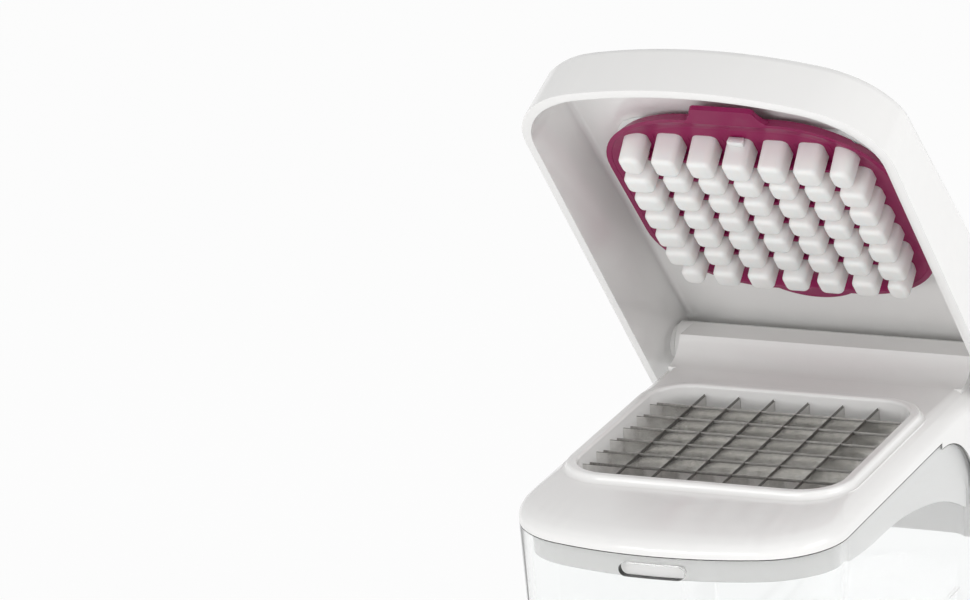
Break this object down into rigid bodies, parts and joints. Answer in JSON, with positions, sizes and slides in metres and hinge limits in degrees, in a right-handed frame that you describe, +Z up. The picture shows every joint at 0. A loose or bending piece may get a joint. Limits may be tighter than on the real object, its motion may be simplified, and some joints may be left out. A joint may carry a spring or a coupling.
{
  "type": "hinged press vegetable chopper",
  "caption": "Countertop chopper: a hinged deep lid whose square pegs press food through a crossed-blade collar into a clear tub with a pouring door.",
  "frame": {"origin": "on the table, at the underside of the non-slip base, straight below the middle of the blade lattice", "axes": "+X to the user's right, +Y from the front towards the lid's hinge, +Z up"},
  "size_m": [0.131, 0.2014, 0.2621],
  "materials": {
    "clear_tub": "clear, glossy",
    "base_pad": "soft matte",
    "white_gloss": "glossy white",
    "white_frame": "satin white",
    "steel": "brushed",
    "blade_steel": "polished, ground edge",
    "soft_pad": "soft matte",
    "pusher_white": "satin white",
    "grid_plum": "satin plum"
  },
  "bodies": {
    "base": {"container": "clear_tub", "non_slip_base": "base_pad"},
    "top": {"housing": "white_gloss", "front_latch": "white_gloss", "blade_frame": "white_frame", "frame_screws": "steel", "blades_cross": "blade_steel", "blades_long": "blade_steel", "door_pin": "steel", "hinge_pins": "steel"},
    "door": {"pour_door": "white_gloss"},
    "lid": {"lid_shell": "white_gloss", "soft_top": "soft_pad", "pusher": "pusher_white", "pusher_screws": "steel", "cleaning_grid": "grid_plum"}
  },
  "joints": [
    {"name": "top_lift", "type": "slide", "parent": "base", "child": "top", "axis": [0, 0, 1], "range_m": [0, 0.12]},
    {"name": "lid_hinge", "type": "hinge", "parent": "top", "child": "lid", "pos_m": [0, 0.0944, 0.1171], "axis": [-1, 0, 0], "range_deg": [-46.6, 25]},
    {"name": "door_hinge", "type": "hinge", "parent": "top", "child": "door", "pos_m": [0, 0.0844, 0.0968], "axis": [1, 0, 0], "range_deg": [0, 80]}
  ]
}
